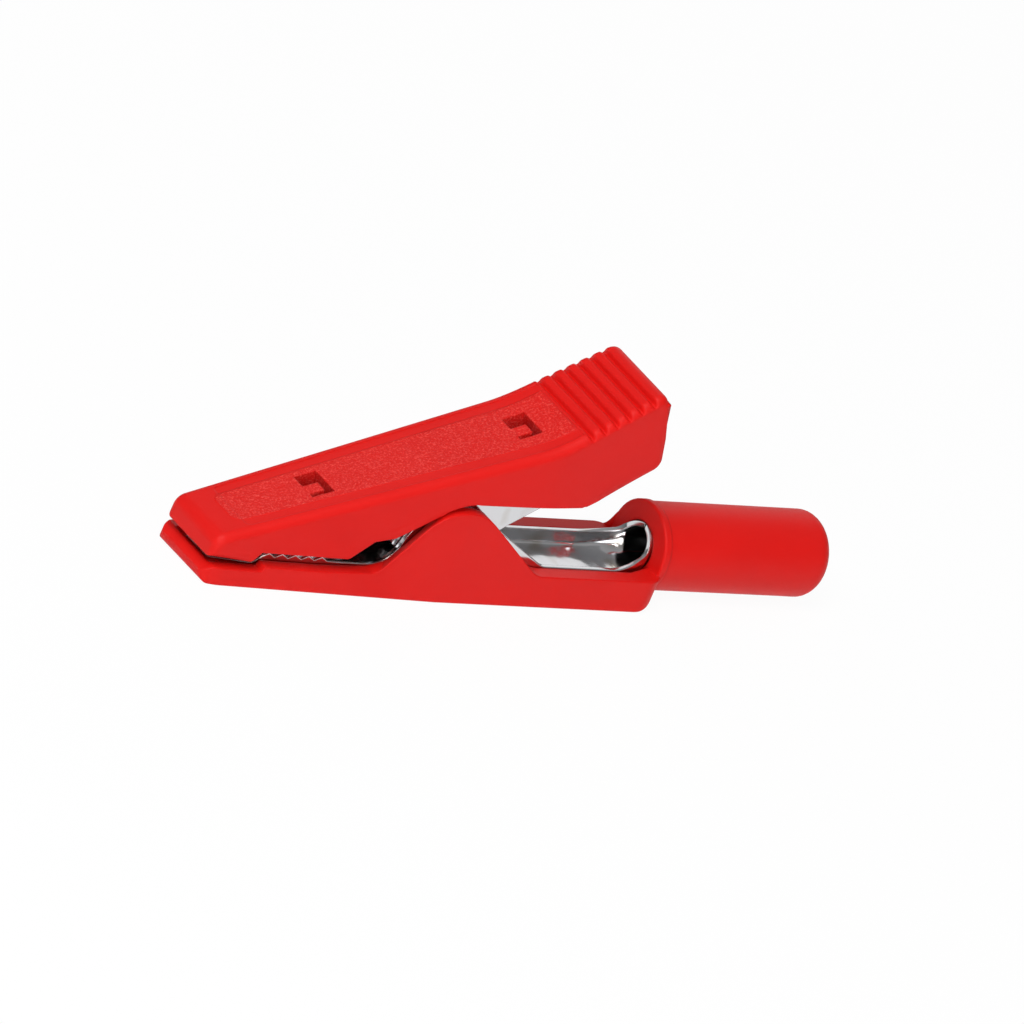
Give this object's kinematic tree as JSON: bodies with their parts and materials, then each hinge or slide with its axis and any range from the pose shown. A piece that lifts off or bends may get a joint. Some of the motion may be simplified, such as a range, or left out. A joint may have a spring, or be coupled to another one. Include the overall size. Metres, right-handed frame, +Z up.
{
  "type": "crocodile clip",
  "caption": "Miniature insulated crocodile clip: plastic shells over toothed metal jaws, sprung shut on a rivet, with a ribbed thumb lever and a round socket for a test plug.",
  "frame": {"origin": "centre of the plug tube's mouth, just inside the sleeve's rear end", "axes": "+X along the socket, the way the plug leaves; +Y across the clip, away from the side that faces the viewer in the picture; +Z up, towards the lever"},
  "size_m": [0.0417, 0.006, 0.013],
  "materials": {
    "shell_plastic": "red injection-moulded plastic, satin sides and a spark-eroded panel on the lever",
    "plated_sheet": "bright nickel plating on pressed sheet steel",
    "rivet_steel": "nickel-plated rivet",
    "spring_steel": "drawn spring wire, plated"
  },
  "bodies": {
    "casing": {"lower_shell": "shell_plastic", "lower_jaw": "plated_sheet", "pivot_rivet": "rivet_steel", "torsion_spring": "spring_steel"},
    "lever": {"upper_shell": "shell_plastic", "upper_jaw": "plated_sheet"}
  },
  "joints": [
    {"name": "lever_hinge", "type": "hinge", "parent": "casing", "child": "lever", "pos_m": [-0.02575, 0, 0], "axis": [0, 1, 0], "range_deg": [0, 28], "stiffness_Nm_per_rad": 0.05, "springref_deg": -45.84, "deforming": ["torsion_spring"]}
  ]
}
